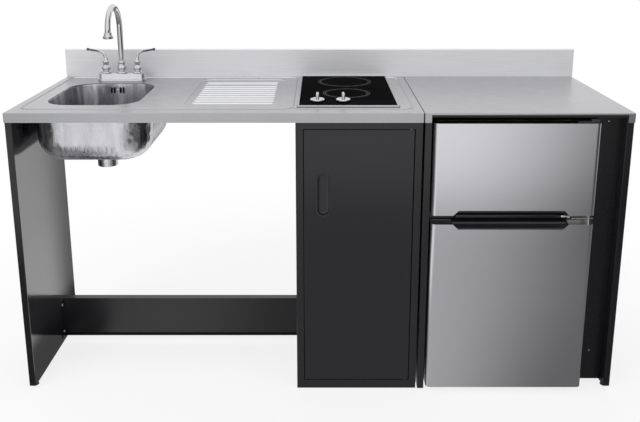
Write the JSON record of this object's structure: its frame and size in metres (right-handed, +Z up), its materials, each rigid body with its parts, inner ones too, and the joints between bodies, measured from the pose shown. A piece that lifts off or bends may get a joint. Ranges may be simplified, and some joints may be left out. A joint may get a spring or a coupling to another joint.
{
  "type": "kitchenette unit",
  "caption": "Compact kitchenette: steel worktop with drainer, sink, mixer tap and glass hob over a knee space, a storage cabinet and an under-counter refrigerator with freezer.",
  "frame": {"origin": "on the floor, under the middle of the whole unit", "axes": "+X to the right seen from the front, -Y towards the person in front of it, +Z up"},
  "size_m": [1.829, 0.631, 1.1625],
  "materials": {
    "worktop_steel": "brushed",
    "sink_steel": "polished",
    "tap_chrome": "polished",
    "knob_metal": "satin",
    "black_paint": "satin",
    "black_board": "satin black facing",
    "worktop_core": "raw board",
    "foil": "aluminium foil facing",
    "sleeve_foil": "bright foil",
    "hob_glass": "polished black",
    "hob_tray": "galvanised",
    "hob_element": "matt",
    "fridge_black": "satin",
    "door_silver": "metallic satin",
    "black_plastic": "satin",
    "white_plastic": "satin",
    "clear_plastic": "clear",
    "shelf_glass": "clear",
    "black_rubber": "matt",
    "bright_steel": "zinc plated",
    "dark_steel": "satin"
  },
  "bodies": {
    "unit_frame": {"backsplash": "worktop_steel", "bowl_foil_wrap": "foil", "cabinet_back": "black_paint", "cabinet_pin_lower": "bright_steel", "cabinet_pin_upper": "bright_steel", "cabinet_shelf": "black_paint", "cabinet_shell": "black_paint", "compressor": "dark_steel", "condenser_coil": "dark_steel", "drain_foil_sleeve": "sleeve_foil", "end_foot_front": "dark_steel", "end_foot_rear": "dark_steel", "end_panel_left": "black_board", "end_panel_right": "black_board", "faucet_base": "tap_chrome", "filler_strip": "black_paint", "fridge_cabinet": "fridge_black", "fridge_foot_left": "black_plastic", "fridge_foot_right": "black_plastic", "fridge_hinge_bottom": "bright_steel", "fridge_hinge_middle": "bright_steel", "fridge_hinge_top": "black_plastic", "fridge_shelf": "shelf_glass", "hob_burner_box": "hob_tray", "hob_element_front": "hob_element", "hob_element_rear": "hob_element", "hob_glass": "hob_glass", "hob_trim": "worktop_steel", "leg_foot_front": "dark_steel", "leg_foot_rear": "dark_steel", "leg_panel": "black_board", "overflow_pipe": "black_plastic", "salad_drawer": "clear_plastic", "sink_bowl": "sink_steel", "strainer_body": "sink_steel", "strainer_locknut": "bright_steel", "stretcher_rail": "black_paint", "worktop_board_left": "worktop_core", "worktop_board_right": "worktop_core", "worktop_left": "worktop_steel", "worktop_right": "worktop_steel"},
    "cabinet_door_body": {"cabinet_door": "black_board", "cabinet_door_pull": "black_plastic"},
    "freezer_door_body": {"freezer_door": "door_silver", "freezer_gasket": "black_rubber", "freezer_door_grip": "black_plastic", "freezer_door_rack": "clear_plastic"},
    "fridge_door_body": {"fridge_door": "door_silver", "fridge_gasket": "black_rubber", "fridge_door_grip": "black_plastic", "fridge_door_rack_lower": "clear_plastic", "fridge_door_rack_upper": "clear_plastic"},
    "knob_left_body": {"hob_knob_left": "knob_metal"},
    "knob_right_body": {"hob_knob_right": "knob_metal"},
    "spout_body": {"faucet_spout": "tap_chrome", "faucet_aerator": "tap_chrome"},
    "handle_left_body": {"faucet_handle_left": "tap_chrome"},
    "handle_right_body": {"faucet_handle_right": "tap_chrome"},
    "basket_body": {"strainer_basket": "sink_steel"},
    "dial_body": {"thermostat_dial": "white_plastic"}
  },
  "joints": [
    {"name": "cabinet_door_hinge", "type": "hinge", "parent": "unit_frame", "child": "cabinet_door_body", "pos_m": [0.2681, -0.2865, 0.434], "axis": [0, 0, 1], "range_deg": [0, 95]},
    {"name": "freezer_door_hinge", "type": "hinge", "parent": "unit_frame", "child": "freezer_door_body", "pos_m": [0.8018, -0.2935, 0.723], "axis": [0, 0, 1], "range_deg": [0, 110]},
    {"name": "fridge_door_hinge", "type": "hinge", "parent": "unit_frame", "child": "fridge_door_body", "pos_m": [0.8018, -0.2935, 0.287], "axis": [0, 0, 1], "range_deg": [0, 110]},
    {"name": "knob_left_turn", "type": "hinge", "parent": "unit_frame", "child": "knob_left_body", "pos_m": [-0.006, -0.1485, 0.8954], "axis": [0, 0, 1], "range_deg": [-270, 0]},
    {"name": "knob_right_turn", "type": "hinge", "parent": "unit_frame", "child": "knob_right_body", "pos_m": [0.073, -0.1485, 0.8954], "axis": [0, 0, 1], "range_deg": [-270, 0]},
    {"name": "spout_swivel", "type": "hinge", "parent": "unit_frame", "child": "spout_body", "pos_m": [-0.697, 0.2355, 0.949], "axis": [0, 0, 1], "range_deg": [-90, 90]},
    {"name": "handle_left_turn", "type": "hinge", "parent": "unit_frame", "child": "handle_left_body", "pos_m": [-0.752, 0.2355, 0.9413], "axis": [0, 0, 1], "range_deg": [0, 90]},
    {"name": "handle_right_turn", "type": "hinge", "parent": "unit_frame", "child": "handle_right_body", "pos_m": [-0.642, 0.2355, 0.9413], "axis": [0, 0, 1], "range_deg": [-90, 0]},
    {"name": "basket_lift", "type": "slide", "parent": "unit_frame", "child": "basket_body", "axis": [0, 0, 1], "range_m": [0, 0.06]},
    {"name": "dial_turn", "type": "hinge", "parent": "unit_frame", "child": "dial_body", "pos_m": [0.5723, -0.1205, 0.549], "axis": [0, 0, 1], "range_deg": [0, 270]}
  ]
}
